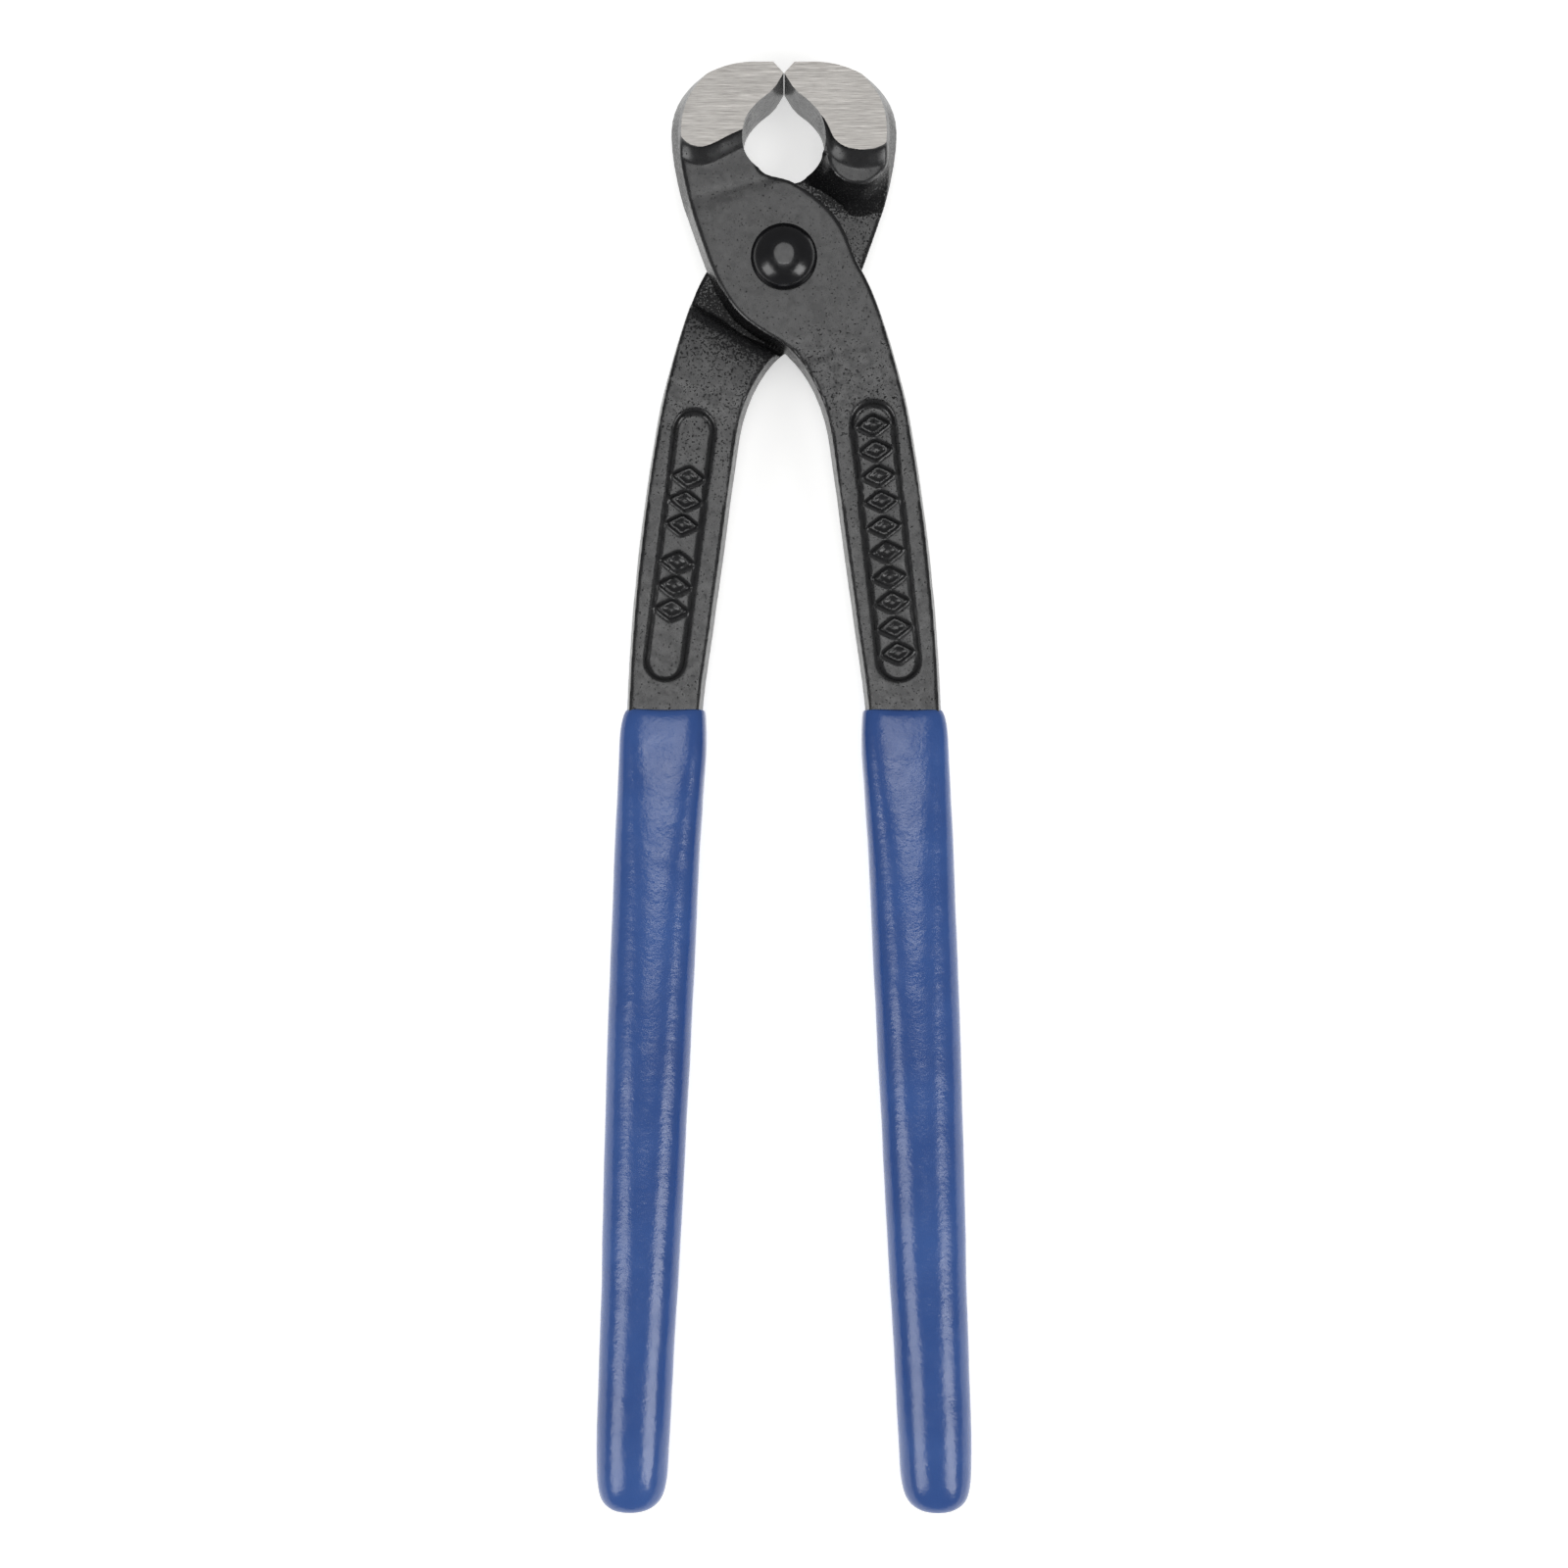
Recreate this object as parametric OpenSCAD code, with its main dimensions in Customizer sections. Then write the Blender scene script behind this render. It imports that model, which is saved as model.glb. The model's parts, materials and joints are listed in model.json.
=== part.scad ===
// Hand nipper with two identical forged levers, lapped and riveted, and dipped grips.
// Millimetres. +Y points to the jaws, +Z to the side of the rivet's round head.
// The tool lies on its jaws: the origin is under the middle of its bounding box.

/* [Overall] */
// Length from the ends of the grips to the tops of the jaws
overall_l = 200; // [180:1:245]
// Distance between the centre lines of the handles at their ends
spread = 42.6; // [34:0.2:60]

/* [Jaws] */
// Pivot centre to the cutting edges
jaw_reach = 25; // [24:0.5:31]
// Width over both jaws, closed
head_w = 31.2; // [28:0.2:38]
// Width of the mouth between the closed jaws
mouth_w = 11.2; // [9:0.2:13]
// Length of the cutting edges, which is the thickness of the jaws
jaw_t = 13; // [11.6:0.2:18]
// Height of the jaws' tops above the cutting edges
crown = 1.5; // [1:0.1:2]
// Radius of the ground end of each jaw
crown_r = 14; // [12:0.2:17]
// Cutting edge to the foot of the ground side faces
pad_l = 10.1; // [9:0.1:11]
// Half the gap left between the closed cutting edges
edge_gap = 0.04; // [0.02:0.01:0.1]

/* [Joint] */
// Half the width of a lever where the rivet passes
boss_r = 10; // [9:0.1:12.5]
// Thickness of each lapped half
lap_t = 5.15; // [4.2:0.05:5.4]
// Gap between the lapped halves
lap_gap = 0.1; // [0.06:0.02:0.2]
// Slope of the seat that leads from the lap to the handle, in degrees
seat_slope = 31; // [25:1:45]
// Slope of the forged side walls, in degrees
draft = 8; // [4:1:10]
// How far the cheeks of the jaws stand out of the ground faces
cheek = 1.7; // [1.2:0.1:2]

/* [Rivet] */
// Diameter of the shank
rivet_d = 5.5; // [4.5:0.1:7]
// Diameter of the round head
head_d = 9.2; // [8:0.1:12]
// Height of the round head
head_h = 3; // [2.4:0.1:4]
// Diameter of the flat on the round head
head_flat_d = 2.7; // [1:0.1:4]
// Height of the closing head on the back
tail_h = 1; // [0.6:0.1:1.1]
// Depth of the countersink that the closing head fills
sink_h = 1.2; // [0.8:0.1:2]
// Radial clearance of the shank in the turning lever
run_gap = 0.05; // [0.02:0.01:0.1]
// Radial clearance of the shank in the lever that holds it
hold_gap = 0.01; // [0.01:0.005:0.02]

/* [Handles] */
// Thickness of the handles
handle_t = 7.2; // [6:0.1:8.8]
// Width of the handles below the joint
neck_w = 11.9; // [10.5:0.1:14.5]
// Width of the handles at the mouths of the grips
shank_w = 10.5; // [9:0.1:12]
// Width of the tangs at their ends
tang_w = 7.6; // [6.5:0.1:9.2]
// Thickness of the tangs at their ends
tang_t = 6.8; // [6:0.1:8.2]
// Length of the sunk panels
panel_l = 38.8; // [30:0.2:44]
// Width of the sunk panels
panel_w = 6.2; // [5:0.1:7]
// Depth of the sunk panels
panel_d = 0.5; // [0.3:0.05:0.8]
// Pivot centre to the upper end of the panels, along the handle
panel_top = 19.6; // [19:0.2:24]

/* [Grips] */
// Length of the grips
grip_l = 110.5; // [90:0.5:130]
// Thickness of the grips' wall
grip_wall = 1.1; // [0.8:0.05:1.5]
// Thickness of the grips' wall at its lip
lip_wall = 0.4; // [0.3:0.05:0.6]
// Thickness of the grips' closed end
grip_end = 1.4; // [1:0.1:3]
// Gap between a grip and its tang
bond_gap = 0.02; // [0.01:0.01:0.05]

/* [Hidden] */
$fn = 64;

jaw_h = jaw_t / 2;               // half thickness at the ground faces
face_h = lap_t + lap_gap / 2;    // height of the forged face over the lap plane
handle_h = handle_t / 2;
head_half = head_w / 2;
mouth_half = mouth_w / 2;
head_top = jaw_reach + crown;
pivot_y = overall_l / 2 - head_top;
foot_y = head_top - overall_l;   // outer ends of the grips
grip_y = foot_y + grip_l;        // mouths of the grips
tang_y = foot_y + grip_end;
lap_top = boss_r + 1.2;          // floor of the mouth
crotch_r = boss_r + 2.7;         // where the handles part
seat_r = max(boss_r + 4, head_half - 1.6);   // clears the other lever as it turns
nose_r = (head_half - mouth_half) / 2 - 1.05;
nose = [-(head_half + mouth_half) / 2 + 0.6, lap_top + 2.8];
pad_y = jaw_reach - pad_l;
edge_slope = 132;                // direction of the outer bevel of a cutting edge
steps = 4;                       // stations between two rows of the lever's plan
over = 1;                        // how far a cut runs past what it cuts

function polar(r, a) = [r * cos(a), r * sin(a)];
function mix(a, b, u) = a + (b - a) * u;
function flared(h) = h * tan(draft);

// Smooth curve through the points p, at the share u of the way from point i to the next.
function smooth(p, i, u) =
    let (a = p[max(i - 1, 0)], b = p[i], c = p[i + 1], d = p[min(i + 2, len(p) - 1)])
    b + u / 2 * (c - a + u * (2 * a - 5 * b + 4 * c - d + u * (3 * (b - c) + d - a)));
function curve(p, n) =
    concat([for (i = [0 : len(p) - 2], j = [0 : n - 1]) smooth(p, i, j / n)], [p[len(p) - 1]]);

// A row of the plan: edge point a on the rivet's right, edge point b on its left, half
// thickness h, and how far each edge of the flat face stands in from the parting line.
function row(a, b, h, in_a, in_b) = [[a[0], a[1], b[0], b[1]], [h, in_a, in_b]];
function bar(y, mid, w, h) = row([mid + w / 2, y], [mid - w / 2, y], h, flared(h), flared(h));

// Centre line of the handle from its end to the joint.
tang_x = spread / 2;
mouth_x = 16.6;                  // at the mouth of the grip
neck_x = 11.6;                   // below the joint
neck_y = -22;
tang_drop = grip_y - tang_y;

tang_rows = [
    bar(tang_y, tang_x, tang_w - 1, tang_t / 2 - 0.5),
    bar(tang_y + 2, tang_x, tang_w, tang_t / 2),
    bar(mix(tang_y, grip_y, 0.2), mix(tang_x, mouth_x, 0.22), mix(tang_w, shank_w, 0.4), tang_t / 2),
    bar(mix(tang_y, grip_y, 0.45), mix(tang_x, mouth_x, 0.48), mix(tang_w, shank_w, 0.62),
        mix(tang_t, handle_t, 0.5) / 2),
    bar(mix(tang_y, grip_y, 0.75), mix(tang_x, mouth_x, 0.75), mix(tang_w, shank_w, 0.82), handle_h),
    bar(grip_y, mouth_x, shank_w, handle_h),
];
handle_rows = [
    bar(mix(grip_y, neck_y, 0.3), mix(mouth_x, neck_x, 0.23), mix(shank_w, neck_w, 0.68), handle_h),
    bar(mix(grip_y, neck_y, 0.58), mix(mouth_x, neck_x, 0.5), neck_w, handle_h),
    bar(mix(grip_y, neck_y, 0.8), mix(mouth_x, neck_x, 0.75), neck_w, handle_h),
    bar(neck_y, neck_x, neck_w, handle_h),
    row([boss_r + 6.4, -boss_r - 6.5], [boss_r - 6.6, -boss_r - 6.5], mix(handle_h, face_h, 0.3),
        flared(handle_h), flared(handle_h)),
];
lap_in = flared(face_h);
boss_rows = [
    row(polar(boss_r + 7, -32.8), polar(crotch_r, -88), mix(handle_h, face_h, 0.85), lap_in, lap_in),
    row(polar(boss_r + 2.8, -17), polar(boss_r + 0.7, -107), face_h, lap_in, lap_in),
    row(polar(boss_r + 0.4, -1.6), polar(boss_r + 0.2, -129), face_h, lap_in, lap_in),
    row(polar(boss_r - 0.3, 19), polar(boss_r, -151), face_h, lap_in, lap_in),
    row(polar(boss_r - 0.4, 39), polar(boss_r + 0.7, 187), face_h, lap_in, lap_in),
    row(polar(boss_r, 62), polar(boss_r + 2.2, 169.6), face_h, lap_in, lap_in),
    row(polar(boss_r + 0.9, 84), [-head_half + 2.4, 5.5], face_h, lap_in, lap_in),
    row([-0.38 * mouth_half, lap_top + 0.6], [-head_half + 1.3, 9], face_h, lap_in, lap_in),
];
jaw_rows = [
    row([-0.78 * mouth_half, lap_top + 2], [-head_half + 0.5, lap_top + 1.4], jaw_h, 0.5, 1.2),
    row([-mouth_half, lap_top + 4.6], [-head_half, lap_top + 5.2], jaw_h, 0.5, cheek),
    row([-0.96 * mouth_half, jaw_reach - 6.1], [-head_half + 0.1, jaw_reach - 5.2], jaw_h, 0.5, cheek),
    row([-0.75 * mouth_half, jaw_reach - 4.1], [-head_half + 1.4, jaw_reach - 1.8], jaw_h, 0.4, cheek),
    row([-0.43 * mouth_half, jaw_reach - 2.8], [-0.71 * head_half, head_top], jaw_h, 0.3, cheek),
    row([-1.2, jaw_reach - 1.8], [-0.42 * head_half, head_top + 1.9], jaw_h, 0.1, cheek),
    row([-edge_gap, jaw_reach], [-edge_gap, jaw_reach] + polar(3.6, edge_slope), jaw_h, 0, 0),
];

function stations(rows) =
    let (plan = curve([for (r = rows) r[0]], steps))
    [for (k = [0 : len(plan) - 1])
        let (i = min(floor(k / steps), len(rows) - 2), u = k / steps - i)
        [plan[k], mix(rows[i][1], rows[i + 1][1], u)]];

// Six points round the bar at a station, grown by g.
function ring(s, g) =
    let (a = [s[0][0], s[0][1]], b = [s[0][2], s[0][3]], e = (b - a) / norm(b - a),
         h = s[1][0] + g, fa = a + e * (s[1][1] - g), fb = b - e * (s[1][2] - g))
    [[a[0] - e[0] * g, a[1] - e[1] * g, 0], [fa[0], fa[1], h], [fb[0], fb[1], h],
     [b[0] + e[0] * g, b[1] + e[1] * g, 0], [fb[0], fb[1], -h], [fa[0], fa[1], -h]];

// Solid skin over a list of rings that all have the same number of points.
module skin(rings) {
    n = len(rings[0]);
    m = len(rings);
    points = [for (r = rings) for (p = r) p];
    sides = [for (k = [0 : m - 2], i = [0 : n - 1])
        let (a = k * n + i, b = k * n + (i + 1) % n) each [[a, b, b + n], [a, b + n, a + n]]];
    caps = [[for (i = [n - 1 : -1 : 0]) i], [for (i = [0 : n - 1]) (m - 1) * n + i]];
    polyhedron(points, concat(sides, caps));
}

// The forging before anything is cut from it.
module blank()
    skin([for (s = stations(concat(tang_rows, handle_rows, boss_rows, jaw_rows))) ring(s, 0)]);

// Clears the other lever's half of the lap, and leaves the jaw's rounded nose standing.
module lap_seat() {
    deep = jaw_h + over;
    difference() {
        translate([0, 0, lap_gap / 2 - deep])
            cylinder(h = deep, r1 = seat_r + deep / tan(seat_slope), r2 = seat_r);
        translate([nose[0], nose[1], -face_h])
            cylinder(h = face_h + over, r1 = nose_r, r2 = nose_r + 1.3);
        translate([nose[0], nose[1], -jaw_h - 2 * over])
            cylinder(h = jaw_h - face_h + 2.01 * over, r = nose_r);
        translate([-2 * head_w, nose[1], -jaw_t])
            cube([4 * head_w, jaw_reach, 2 * jaw_t]);
    }
}

// Drops the outer face from the ground level to the forged level, below a wavy line.
module outer_step()
    translate([0, 0, face_h])
        linear_extrude(jaw_h)
            polygon(concat(
                curve([[-head_half - 2, pad_y + 4], [-head_half + 1.5, pad_y + 1.6],
                       [-head_half + 2.5, pad_y + 0.7], [-head_half + 4.4, pad_y],
                       [-head_half + 6.7, pad_y + 0.9], [-mouth_half - 0.3, pad_y + 2.4],
                       [-mouth_half + 1.6, pad_y + 3.4]], steps),
                [[1, lap_top + 1.5], [1, 8.4], [-head_half - 2, 8.4]]));

// The same on the lapped side, below a round line that follows the nose.
module inner_step()
    translate([0, 0, -face_h - jaw_h])
        difference() {
            translate([-head_half - 2, 8, 0])
                cube([head_half + 3, pad_y - 3, jaw_h]);
            translate([nose[0] - 0.6, pad_y + 4.9, -over])
                cylinder(h = jaw_h + 2 * over, r = nose_r + 1.5);
            translate([-head_half - 3, pad_y + 3.2, -over])
                cube([head_half + 5, head_top, jaw_h + 2 * over]);
        }

// Rounds the end of the jaw, from the cutting edge to the shoulder.
module end_grind()
    translate([-4, head_top - crown_r, 0])
        rotate([0, 0, 50])
            rotate_extrude(angle = 76)
                translate([crown_r, -jaw_t])
                    square([8, 2 * jaw_t]);

// A sunk panel with round ends, with a row of raised lozenges on its floor.
module panel(count, skip) {
    run = panel_l - panel_w;
    pitch = run / (count - 1) * 0.96;
    tilt = atan2(mouth_x - neck_x, neck_y - grip_y) * 0.86;
    translate([neck_x + 0.1, -panel_top - panel_w / 2, handle_h - panel_d])
        rotate([0, 0, tilt])
            difference() {
                linear_extrude(panel_d + over)
                    union() {
                        circle(d = panel_w);
                        translate([0, -run])
                            circle(d = panel_w);
                        translate([-panel_w / 2, -run])
                            square([panel_w, run]);
                    }
                for (i = [0 : count - 1])
                    if (i != skip)
                        translate([0, -0.02 * run - i * pitch, -over])
                            lozenge(panel_w - 2, pitch * 0.8, panel_d * 0.8 + over);
            }
}

module lozenge(w, l, h)
    linear_extrude(h)
        polygon([[-w / 2, 0], [0, -l / 2], [w / 2, 0], [0, l / 2]]);

module lever(bore_r)
    difference() {
        blank();
        lap_seat();
        outer_step();
        inner_step();
        end_grind();
        panel(10, -1);
        mirror([0, 0, 1])
            panel(8, 4);
        translate([0, 0, -jaw_t])
            cylinder(h = 2 * jaw_t, r = bore_r);
    }

module front_lever()
    color("#3a3a3c")
        lever(rivet_d / 2 + run_gap);

module rear_lever()
    color("#3a3a3c")
        rotate([0, 180, 0])
            difference() {
                lever(rivet_d / 2 + hold_gap);
                translate([0, 0, face_h - sink_h])
                    cylinder(h = sink_h + over, r1 = rivet_d / 2 + hold_gap,
                             r2 = rivet_d / 2 + hold_gap + sink_h + over);
            }

// Round head in front, shank through both levers, and a low closing head behind.
module pivot_rivet()
    color("#1d1d1f") {
        dome_c = ((head_flat_d * head_flat_d - head_d * head_d) / 4 + head_h * head_h) / 2 / head_h;
        dome_r = norm([head_d / 2, dome_c]);
        tail_r = rivet_d / 2 + sink_h;
        translate([0, 0, face_h + run_gap])
            intersection() {
                translate([0, 0, dome_c])
                    sphere(dome_r);
                cylinder(h = head_h, r = head_d / 2);
            }
        translate([0, 0, -face_h])
            cylinder(h = 2 * face_h + run_gap, r = rivet_d / 2);
        translate([0, 0, -face_h])
            cylinder(h = sink_h, r1 = tail_r, r2 = rivet_d / 2);
        translate([0, 0, -face_h - tail_h])
            cylinder(h = tail_h, r1 = tail_r - 1.4 * tail_h, r2 = tail_r);
    }

// Outer skin of a grip: nearly square at its mouth, round at its end.
grip_sides = 32;
grip_stations = 26;
dome_l = 4.6;                    // length of the rounded end

function at_share(rows, v) =
    let (p = v * (len(rows) - 1), i = min(floor(p), len(rows) - 2))
    smooth([for (r = rows) concat(r[0], r[1])], i, p - i);
function tang_at(y, lo = 0, hi = 1, left = 30) =
    let (v = (lo + hi) / 2, s = at_share(tang_rows, v))
    left == 0 ? s : s[1] < y ? tang_at(y, v, hi, left - 1) : tang_at(y, lo, v, left - 1);

function grip_ring(y) =
    let (s = tang_at(max(y, tang_y + 2)),
         up = (y - foot_y) / grip_l,
         lip = pow(min((grip_y - y) / 3, 1), 0.5),
         wall = mix(lip_wall, grip_wall, lip),
         dome = y - foot_y < dome_l ? pow(1 - pow(1 - (y - foot_y) / dome_l, 2.2), 1 / 2.2) : 1,
         a = ((s[0] - s[2]) / 2 + wall) * dome,
         b = (s[4] + wall + 0.5 * (1 - up)) * dome,
         q = 2 / mix(2, 5.5, pow(max(up, 0), 1.6)),
         x = (s[0] + s[2]) / 2)
    [for (i = [0 : grip_sides - 1])
        let (t = -i * 360 / grip_sides)
        [x + a * sign(cos(t)) * pow(abs(cos(t)), q), y, b * sign(sin(t)) * pow(abs(sin(t)), q)]];

module grip() {
    ends = [for (k = [0 : 6]) foot_y + dome_l * (1 - cos(8 + 82 * k / 6))];
    body = [for (k = [1 : grip_stations]) mix(foot_y + dome_l, grip_y - 3, k / grip_stations)];
    lips = [for (k = [1 : 4]) grip_y - 3 * pow(1 - k / 4, 2)];
    color("#2f4f9a")
        difference() {
            skin([for (y = concat(ends, body, lips)) grip_ring(y)]);
            skin([for (s = stations(concat(tang_rows, [handle_rows[0]]))) ring(s, bond_gap)]);
        }
}

// Everything above is drawn with the pivot's lap plane at the origin.
module placed()
    translate([0, pivot_y, jaw_h])
        children();

placed() front_lever();
placed() rear_lever();
placed() pivot_rivet();
placed() grip();  // front_grip
placed() rotate([0, 180, 0]) grip();  // rear_grip
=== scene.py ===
"""Riveted end cutting nipper: two forged levers, a headed rivet and two dipped grips."""
import bpy
import bmesh
import json
import math
from mathutils import Matrix, Vector


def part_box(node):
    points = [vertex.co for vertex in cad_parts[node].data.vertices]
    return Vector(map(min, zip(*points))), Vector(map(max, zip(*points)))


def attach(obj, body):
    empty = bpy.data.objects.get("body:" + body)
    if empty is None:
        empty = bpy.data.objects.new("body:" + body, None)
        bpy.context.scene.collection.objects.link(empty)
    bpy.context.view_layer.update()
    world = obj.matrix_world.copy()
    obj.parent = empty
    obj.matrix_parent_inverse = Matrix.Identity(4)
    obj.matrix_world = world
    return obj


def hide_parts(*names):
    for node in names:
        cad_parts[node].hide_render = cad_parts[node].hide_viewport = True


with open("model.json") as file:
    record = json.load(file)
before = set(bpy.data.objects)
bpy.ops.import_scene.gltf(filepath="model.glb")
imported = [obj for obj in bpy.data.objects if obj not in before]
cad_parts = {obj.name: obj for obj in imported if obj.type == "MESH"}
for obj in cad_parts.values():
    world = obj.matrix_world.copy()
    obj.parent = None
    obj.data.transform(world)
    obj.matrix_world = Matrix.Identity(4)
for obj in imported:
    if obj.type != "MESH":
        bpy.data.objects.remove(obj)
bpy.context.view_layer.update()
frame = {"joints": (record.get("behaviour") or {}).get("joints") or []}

MM = 0.001
HINGE = Vector(frame["joints"][0]["pos_m"])  # the rivet's axis, in the plane where the levers meet
TANG_END, GRIP_MOUTH = (corner.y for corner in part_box("front_grip"))
AXIS = 0.001    # radius of the points of a turned profile that lie on its axis
LAP_GAP = 0.05  # a lap face stays this far from the lap plane
FACE = 5.2      # forged face over the lap plane
JAW = 6.5       # ground face over the lap plane
HANDLE = 3.6    # half thickness of a handle


# ---------------------------------------------------------------- bench tools

def at(x, y, z=0.0):
    """A point given in millimetres from the hinge."""
    return HINGE + Vector((x, y, z)) * MM


def local(point):
    """A point of the scene in millimetres from the hinge."""
    return (point - HINGE) / MM


def clear_selection():
    if bpy.context.object and bpy.context.object.mode != "OBJECT":
        bpy.ops.object.mode_set(mode="OBJECT")
    bpy.ops.object.select_all(action="DESELECT")


def take(piece):
    """Makes the piece the only selected one, and the active one."""
    clear_selection()
    piece.select_set(True)
    bpy.context.view_layer.objects.active = piece
    return piece


def edit(piece, how="VERT"):
    take(piece)
    bpy.ops.object.mode_set(mode="EDIT")
    bpy.ops.mesh.select_mode(type=how)


def rest():
    bpy.ops.object.mode_set(mode="OBJECT")
    return bpy.context.object


def pick(kind, test):
    """Selects the vertices, edges or faces of the piece in edit mode for which test is true."""
    mesh = bmesh.from_edit_mesh(bpy.context.object.data)
    bpy.ops.mesh.select_all(action="DESELECT")
    for part in getattr(mesh, kind):
        part.select_set(test(part))
    mesh.select_flush_mode()
    bmesh.update_edit_mesh(bpy.context.object.data)


def settle(piece):
    """Puts the piece's place into its mesh, so that its object sits at the origin."""
    take(piece)
    bpy.ops.object.transform_apply(location=True, rotation=True, scale=True)
    return piece


def face_out(piece):
    """Merges points that lie on each other, and turns all faces outward."""
    edit(piece)
    bpy.ops.mesh.select_all(action="SELECT")
    bpy.ops.mesh.remove_doubles(threshold=MM / 100)
    bpy.ops.mesh.normals_make_consistent(inside=False)
    return rest()


def finish_with(piece, kind, **settings):
    """Adds a modifier and applies it."""
    take(piece)
    modifier = piece.modifiers.new(kind.title(), kind)
    for name, value in settings.items():
        setattr(modifier, name, value)
    bpy.ops.object.modifier_apply(modifier=modifier.name)
    return piece


def carve(piece, tool):
    """Cuts the tool out of the piece and throws the tool away."""
    finish_with(piece, "BOOLEAN", object=tool, operation="DIFFERENCE", solver="EXACT")
    bpy.data.objects.remove(tool)
    return piece


def turn_over(piece):
    """Turns the piece over about the tool's long axis, through the hinge."""
    piece.matrix_world = Matrix.Translation(HINGE) @ Matrix.Rotation(math.pi, 4, "Y") \
        @ Matrix.Translation(-HINGE) @ piece.matrix_world
    return settle(piece)


def copy_of(piece, name):
    take(piece)
    bpy.ops.object.duplicate()
    bpy.context.object.name = name
    return bpy.context.object


def smooth(points, steps):
    """Points on a smooth curve through the given tuples."""
    rows = [Vector(p) for p in points]
    out = []
    for i in range(len(rows) - 1):
        a, b = rows[max(i - 1, 0)], rows[i]
        c, d = rows[i + 1], rows[min(i + 2, len(rows) - 1)]
        for j in range(steps):
            u = j / steps
            out.append(b + u / 2 * (c - a + u * (2 * a - 5 * b + 4 * c - d + u * (3 * (b - c) + d - a))))
    return out + [rows[-1]]


def draw_line(name, points):
    """A chain of edges through points in the scene, left in edit mode with its last point selected."""
    clear_selection()
    bpy.ops.mesh.primitive_plane_add(size=MM, location=points[0])
    bpy.context.object.name = name
    settle(bpy.context.object)
    edit(bpy.context.object)
    bpy.ops.mesh.select_all(action="SELECT")
    bpy.ops.mesh.merge(type="CENTER")
    for a, b in zip(points, points[1:]):
        bpy.ops.mesh.extrude_vertices_move(TRANSFORM_OT_translate={"value": b - a})
    return bpy.context.object


def prism(name, outline, low, high):
    """A block with the outline in millimetres from the hinge, between two heights."""
    draw_line(name, [at(x, y, low) for x, y in outline])
    bpy.ops.mesh.select_all(action="SELECT")
    bpy.ops.mesh.edge_face_add()
    bpy.ops.mesh.extrude_region_move(TRANSFORM_OT_translate={"value": (0, 0, (high - low) * MM)})
    rest()
    return face_out(bpy.context.object)


def turned(name, profile, centre=(0, 0), steps=48):
    """A solid of revolution about a vertical axis: profile in (radius, height), from axis to axis."""
    x, y = centre
    draw_line(name, [at(x + r, y, z) for r, z in profile])
    bpy.ops.mesh.select_all(action="SELECT")
    bpy.ops.mesh.spin(steps=steps, angle=2 * math.pi, center=at(x, y), axis=(0, 0, 1))
    rest()
    return face_out(bpy.context.object)


def arc(centre, radius, start, stop, steps):
    """Points on an arc, in degrees."""
    out = []
    for k in range(steps + 1):
        t = math.radians(start + (stop - start) * k / steps)
        out.append((centre[0] + radius * math.cos(t), centre[1] + radius * math.sin(t)))
    return out


def bar(name, stations):
    """Extrudes a six-sided bar, parted at the lap plane and drafted from there towards both faces.

    A station is (right x, y, left x, y, half thickness, draft of the right side, draft of the left side).
    """
    rings = []
    for ax, ay, bx, by, half, draft_a, draft_b in stations:
        across = Vector((ax - bx, ay - by)).normalized()
        (ux, uy), (wx, wy) = Vector((ax, ay)) - across * draft_a, Vector((bx, by)) + across * draft_b
        rings.append([at(ax, ay), at(ux, uy, half), at(wx, wy, half),
                      at(bx, by), at(wx, wy, -half), at(ux, uy, -half)])
    piece = draw_line(name, rings[0])
    bpy.ops.mesh.select_all(action="SELECT")
    bpy.ops.mesh.edge_face_add()
    for old, new in zip(rings, rings[1:]):
        bpy.ops.mesh.extrude_region_move()
        mesh = bmesh.from_edit_mesh(piece.data)
        order = [min((v for v in mesh.verts if v.select), key=lambda v: (v.co - corner).length).index
                 for corner in old]
        for index, before, after in zip(order, old, new):
            pick("verts", lambda v: v.index == index)
            bpy.ops.transform.translate(value=after - before)
        pick("verts", lambda v: v.index in order)
    bpy.ops.mesh.select_all(action="SELECT")
    bpy.ops.mesh.quads_convert_to_tris()
    rest()
    return face_out(piece)


# ---------------------------------------------------------------- the forging

def level(y, middle, width, half, draft=0.5):
    """A station of a straight bar."""
    return middle + width / 2, y, middle - width / 2, y, half, draft, draft


# Stations of the lever, from the end of the tang to the jaw.
END_WALL = 2.8  # vinyl beyond the end of the tang
TANG = [
    level(local(Vector((0, TANG_END, 0))).y + END_WALL, 21.3, 5.8, 2.6),
    level(-169, 21.2, 7.2, 3.2),
    level(-150, 20.5, 8.0, 3.1),
    level(-123, 19.25, 8.5, 3.25),
    level(-90, 17.95, 9.4, 3.45),
    level(-63, 16.6, 10.5, HANDLE),
]
SHANK = [
    level(-51, 15.5, 11.4, HANDLE),
    level(-39, 14.1, 11.9, HANDLE + 0.1),
    level(-30, 12.9, 11.9, HANDLE + 0.2),
    level(-22, 11.6, 11.9, HANDLE + 0.45),
    (16.3, -16.5, 3.4, -16.6, 4.5, 0.5, 0.5),
]
BOSS = [
    (14.2, -9.2, 0.4, -12.9, 5.0, 0.5, 0.7),
    (12.2, -3.7, -3.3, -10.7, FACE, 0.5, 0.7),
    (10.4, -0.3, -6.6, -8.2, FACE, 0.5, 0.7),
    (9.0, 3.2, -9.0, -5.0, FACE, 0.5, 0.7),
    (7.3, 6.0, -10.7, -1.4, FACE, 0.5, 0.7),
    (4.6, 8.6, -12.0, 2.2, FACE, 0.5, 0.7),
    (1.0, 10.7, -13.2, 5.5, FACE, 0.4, 0.8),
    (-2.3, 11.5, -14.3, 9.0, FACE, 0.3, 1.0),
]
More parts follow.
